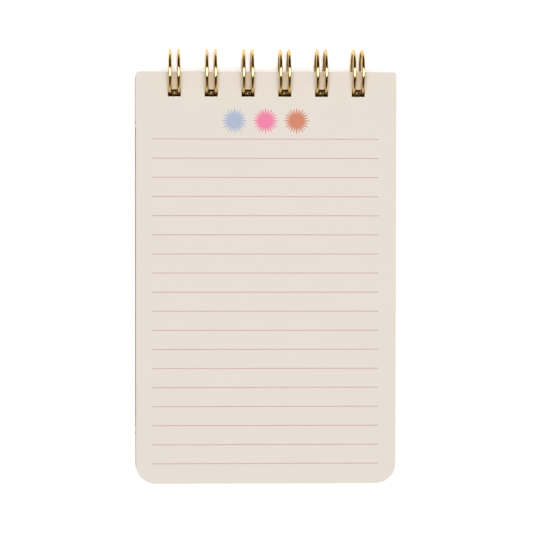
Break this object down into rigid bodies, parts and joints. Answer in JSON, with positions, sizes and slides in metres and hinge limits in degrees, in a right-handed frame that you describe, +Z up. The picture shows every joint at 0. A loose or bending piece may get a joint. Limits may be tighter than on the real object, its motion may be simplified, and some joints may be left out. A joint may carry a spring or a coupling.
{
  "type": "pocket notebook",
  "caption": "Top-bound pocket notebook on a gold twin-loop wire, open at its first ruled page with the front cover folded round behind the back.",
  "frame": {"origin": "bottom centre of the bounding box, on the surface that the notebook lies on", "axes": "+X along the spine to the right, +Y along the page towards the wire, +Z up out of the first page"},
  "size_m": [0.0904, 0.1508, 0.0166],
  "materials": {
    "page_paper": "uncoated cream writing paper",
    "greyboard": "raw greyboard",
    "cover_print": "matt printed cover paper",
    "cover_liner": "plain uncoated paper",
    "wire": "bright gold-coloured steel wire"
  },
  "bodies": {
    "back_cover": {"back_cover_liner": "cover_liner", "back_cover_board": "greyboard", "back_cover_print": "cover_print"},
    "sheets_31_42": {"sheet_31": "page_paper", "sheet_32": "page_paper", "sheet_33": "page_paper", "sheet_34": "page_paper", "sheet_35": "page_paper", "sheet_36": "page_paper", "sheet_37": "page_paper", "sheet_38": "page_paper", "sheet_39": "page_paper", "sheet_40": "page_paper", "sheet_41": "page_paper", "sheet_42": "page_paper"},
    "sheets_19_30": {"sheet_19": "page_paper", "sheet_20": "page_paper", "sheet_21": "page_paper", "sheet_22": "page_paper", "sheet_23": "page_paper", "sheet_24": "page_paper", "sheet_25": "page_paper", "sheet_26": "page_paper", "sheet_27": "page_paper", "sheet_28": "page_paper", "sheet_29": "page_paper", "sheet_30": "page_paper"},
    "sheets_07_18": {"sheet_07": "page_paper", "sheet_08": "page_paper", "sheet_09": "page_paper", "sheet_10": "page_paper", "sheet_11": "page_paper", "sheet_12": "page_paper", "sheet_13": "page_paper", "sheet_14": "page_paper", "sheet_15": "page_paper", "sheet_16": "page_paper", "sheet_17": "page_paper", "sheet_18": "page_paper"},
    "page_06": {"sheet_06": "page_paper"},
    "page_05": {"sheet_05": "page_paper"},
    "page_04": {"sheet_04": "page_paper"},
    "page_03": {"sheet_03": "page_paper"},
    "page_02": {"sheet_02": "page_paper"},
    "page_01": {"sheet_01": "page_paper"},
    "wire": {"binding_wire": "wire"},
    "front_cover": {"front_cover_print": "cover_print", "front_cover_board": "greyboard", "front_cover_liner": "cover_liner"}
  },
  "joints": [
    {"name": "turn_sheets_31_42", "type": "hinge", "parent": "back_cover", "child": "sheets_31_42", "pos_m": [0, 0.06713, 0.00828], "axis": [-1, 0, 0], "range_deg": [0, 180]},
    {"name": "turn_sheets_19_30", "type": "hinge", "parent": "sheets_31_42", "child": "sheets_19_30", "pos_m": [0, 0.06713, 0.00828], "axis": [-1, 0, 0], "range_deg": [0, 180]},
    {"name": "turn_sheets_07_18", "type": "hinge", "parent": "sheets_19_30", "child": "sheets_07_18", "pos_m": [0, 0.06713, 0.00828], "axis": [-1, 0, 0], "range_deg": [0, 180]},
    {"name": "turn_page_06", "type": "hinge", "parent": "sheets_07_18", "child": "page_06", "pos_m": [0, 0.06713, 0.00828], "axis": [-1, 0, 0], "range_deg": [0, 180]},
    {"name": "turn_page_05", "type": "hinge", "parent": "page_06", "child": "page_05", "pos_m": [0, 0.06713, 0.00828], "axis": [-1, 0, 0], "range_deg": [0, 180]},
    {"name": "turn_page_04", "type": "hinge", "parent": "page_05", "child": "page_04", "pos_m": [0, 0.06713, 0.00828], "axis": [-1, 0, 0], "range_deg": [0, 180]},
    {"name": "turn_page_03", "type": "hinge", "parent": "page_04", "child": "page_03", "pos_m": [0, 0.06713, 0.00828], "axis": [-1, 0, 0], "range_deg": [0, 180]},
    {"name": "turn_page_02", "type": "hinge", "parent": "page_03", "child": "page_02", "pos_m": [0, 0.06713, 0.00828], "axis": [-1, 0, 0], "range_deg": [0, 180]},
    {"name": "turn_page_01", "type": "hinge", "parent": "page_02", "child": "page_01", "pos_m": [0, 0.06713, 0.00828], "axis": [-1, 0, 0], "range_deg": [0, 180]},
    {"name": "wire_turn", "type": "hinge", "parent": "back_cover", "child": "wire", "pos_m": [0, 0.06713, 0.00828], "axis": [1, 0, 0], "range_deg": [0, 290]},
    {"name": "front_cover_swing", "type": "hinge", "parent": "wire", "child": "front_cover", "pos_m": [0, 0.0601, 0.00507], "axis": [1, 0, 0], "range_deg": [0, 70.4]}
  ],
  "couplings": [
    {"joint": "front_cover_swing", "follows": "wire_turn", "ratio": 0.24241}
  ]
}
